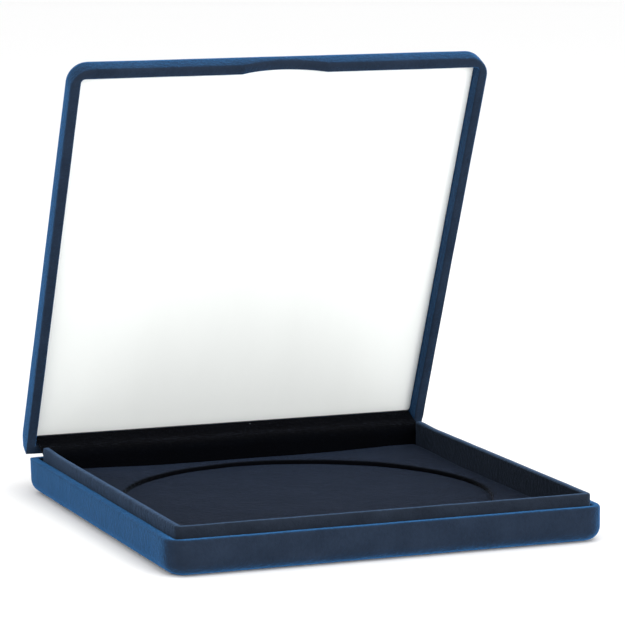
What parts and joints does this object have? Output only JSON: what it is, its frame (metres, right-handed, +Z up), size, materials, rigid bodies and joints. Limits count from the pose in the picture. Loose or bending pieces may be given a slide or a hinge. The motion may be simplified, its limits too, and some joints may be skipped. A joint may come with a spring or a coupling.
{
  "type": "presentation case",
  "caption": "Square velour-covered display case for one large medal or coin, with a round recess, a raised lining collar and a hinged lid lined with white satin.",
  "frame": {"origin": "centre of the tray's underside, on the surface the case stands on", "axes": "+X to the right, -Y to the front with the thumb notch, +Y to the hinge, +Z up"},
  "size_m": [0.2, 0.2128, 0.2033],
  "materials": {
    "velour": "short pile, dark head-on and bright blue at a glance",
    "satin": "smooth white satin",
    "shell_plastic": "moulded, hidden",
    "greyboard": "grey card, hidden",
    "foam": "open foam, hidden",
    "steel": "spring steel"
  },
  "bodies": {
    "base": {"base_shell": "shell_plastic", "base_velour_wrap": "velour", "collar_board_left": "greyboard", "collar_board_right": "greyboard", "collar_board_front": "greyboard", "collar_board_back": "greyboard", "collar_velour_sleeve": "velour", "riser_card": "greyboard", "recess_board": "greyboard", "recess_velour": "velour", "insert_board": "greyboard", "insert_velour": "velour", "hinge_leaf_base": "steel", "hinge_pin": "steel", "hinge_rivet_base_1": "steel", "hinge_rivet_base_2": "steel", "hinge_rivet_base_3": "steel", "hinge_rivet_base_4": "steel", "hinge_flap": "velour"},
    "lid": {"lid_shell": "shell_plastic", "lid_velour_wrap": "velour", "lid_satin_cover": "satin", "lid_pad_foam": "foam", "lid_pad_board": "greyboard", "hinge_leaf_lid": "steel", "hinge_rivet_lid_1": "steel", "hinge_rivet_lid_2": "steel", "hinge_rivet_lid_3": "steel", "hinge_rivet_lid_4": "steel"}
  },
  "joints": [
    {"name": "lid_hinge", "type": "hinge", "parent": "base", "child": "lid", "pos_m": [0, 0.1017, 0.0138], "axis": [-1, 0, 0], "range_deg": [-66.9, 6], "deforming": ["hinge_flap"]}
  ]
}
